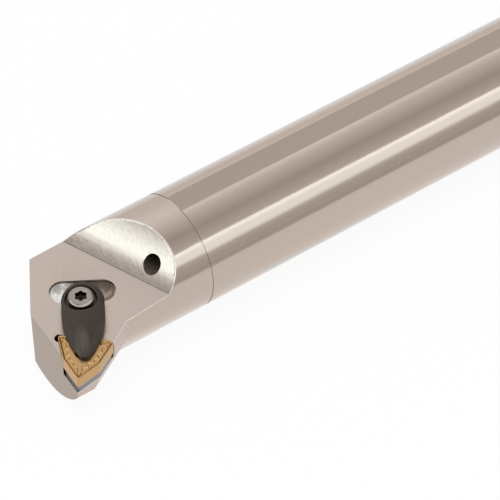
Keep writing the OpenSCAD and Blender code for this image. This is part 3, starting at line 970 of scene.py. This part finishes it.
# %% The clamp screw
HEAD_RADIUS = 3.85 * MM
HEAD_HEIGHT = 3.3 * MM
HEAD_CHAMFER = 0.6 * MM
SCREW_SEAT = 2.23 * MM
SCREW_LENGTH = 14 * MM
THREAD_RADIUS = 2.5 * MM
THREAD_DEPTH = 0.4 * MM
PITCH = 0.8 * MM
# Where each groove is deepest and where it ends, in shares of the pitch
GROOVE_BOTTOM, GROOVE_END = 0.45, 0.9
SOCKET_RADIUS = 1.95 * MM
SOCKET_DEPTH = 2 * MM
SOCKET_LIP = 0.1 * MM
LOBE_SWING = 0.2 * MM
SCREW_STEPS = 96
HEAD_BRIGHT, SOCKET_PAINTED_SHADE = 0, 1


def lobes(vert):
    """Share of the radius at that point: it dips six times round the socket."""
    return 1 - LOBE_SWING / SOCKET_RADIUS * (1 - math.cos(6 * math.atan2(vert.co.y, vert.co.x)))


def screw_head(bm):
    """The head from its seat up to the rim of the socket, then down into the socket."""
    bmesh.ops.create_circle(bm, segments=SCREW_STEPS, radius=THREAD_RADIUS)
    ring = turned(bm, bm.edges[:], (
        (HEAD_RADIUS - 0.15 * MM, 0), (HEAD_RADIUS, 0.15 * MM), (HEAD_RADIUS, HEAD_HEIGHT - HEAD_CHAMFER),
        (HEAD_RADIUS - 0.1 * MM, HEAD_HEIGHT - HEAD_CHAMFER + 0.12 * MM),
        (HEAD_RADIUS - HEAD_CHAMFER, HEAD_HEIGHT - 0.05 * MM),
        (HEAD_RADIUS - HEAD_CHAMFER - 0.08 * MM, HEAD_HEIGHT),
        (SOCKET_RADIUS + 0.15 * MM, HEAD_HEIGHT),
    ))
    ring = turned(bm, ring, (
        (SOCKET_RADIUS * 1.06, HEAD_HEIGHT), (SOCKET_RADIUS, HEAD_HEIGHT - SOCKET_LIP),
        (SOCKET_RADIUS * 0.98, HEAD_HEIGHT - SOCKET_DEPTH),
        (SOCKET_RADIUS * 0.6, HEAD_HEIGHT - SOCKET_DEPTH - 0.3 * MM),
    ), lobes)
    bmesh.ops.edgeloop_fill(bm, edges=ring)


def screw_thread(bm):
    open_edges = [edge for edge in bm.edges if len(edge.link_faces) == 1]
    profile = [(THREAD_RADIUS, -PITCH)]
    for turn in range(1, int(SCREW_LENGTH / PITCH) - 1):
        height = -turn * PITCH
        profile += [
            (THREAD_RADIUS - THREAD_DEPTH, height - PITCH * GROOVE_BOTTOM),
            (THREAD_RADIUS, height - PITCH * GROOVE_END),
            (THREAD_RADIUS, height - PITCH),
        ]
    profile += [(THREAD_RADIUS - THREAD_DEPTH, -SCREW_LENGTH)]
    ring = turned(bm, open_edges, profile)
    bmesh.ops.edgeloop_fill(bm, edges=ring)


bm = bmesh.new()
screw_head(bm)
screw_thread(bm)
# Faces inside the socket get painted shade
for face in bm.faces:
    middle = face.calc_center_median()
    inside = math.hypot(middle.x, middle.y) < SOCKET_RADIUS and 0 < middle.z < HEAD_HEIGHT - SOCKET_LIP
    face.material_index = SOCKET_PAINTED_SHADE if inside else HEAD_BRIGHT
bmesh.ops.transform(bm, matrix=clamp_frame @ up(SCREW_SEAT), verts=bm.verts)
finish_piece(bm, "clamp_screw_turned", "screw", "bright_steel", [bright_steel, dark_steel_and_socket_shade], "clamp_screw")

# %% The lifting spring
SPRING_RADIUS = 3.1 * MM
WIRE_RADIUS = 0.3 * MM
SPRING_LOW = -2.65 * MM
SPRING_HIGH = -0.2 * MM
SPRING_TURNS = 4
STEPS_PER_TURN = 40

bm = bmesh.new()
bmesh.ops.create_circle(bm, cap_ends=True, segments=12, radius=WIRE_RADIUS)
bmesh.ops.rotate(bm, verts=bm.verts, matrix=Matrix.Rotation(math.pi / 2, 3, "X"))
bmesh.ops.translate(bm, verts=bm.verts, vec=(SPRING_RADIUS, 0, SPRING_LOW))
steps = STEPS_PER_TURN * SPRING_TURNS
bmesh.ops.spin(
    bm, geom=bm.faces[:] + bm.edges[:] + bm.verts[:], axis=(0, 0, 1), cent=(0, 0, 0),
    angle=2 * math.pi * SPRING_TURNS, dvec=(0, 0, (SPRING_HIGH - SPRING_LOW) / steps), steps=steps,
    use_merge=False,
)
bmesh.ops.transform(bm, matrix=clamp_frame, verts=bm.verts)
spring = finish_piece(bm, "lifting_spring", None, "bright_steel", [bright_steel], "clamp_spring")
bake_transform(spring)

# %% The shim and its screw
SHIM_BREAK = 0.08 * MM

bm = merged_copy("shim")
break_edges(bm, sharp_edges(bm), SHIM_BREAK, 0)
shim = finish_piece(bm, "carbide_shim", "bar", "shim_carbide", [carbide], "shim")
even_shading(shim)
nodes["shim_screw"].data.materials.clear()
nodes["shim_screw"].data.materials.append(dark_steel_and_socket_shade)
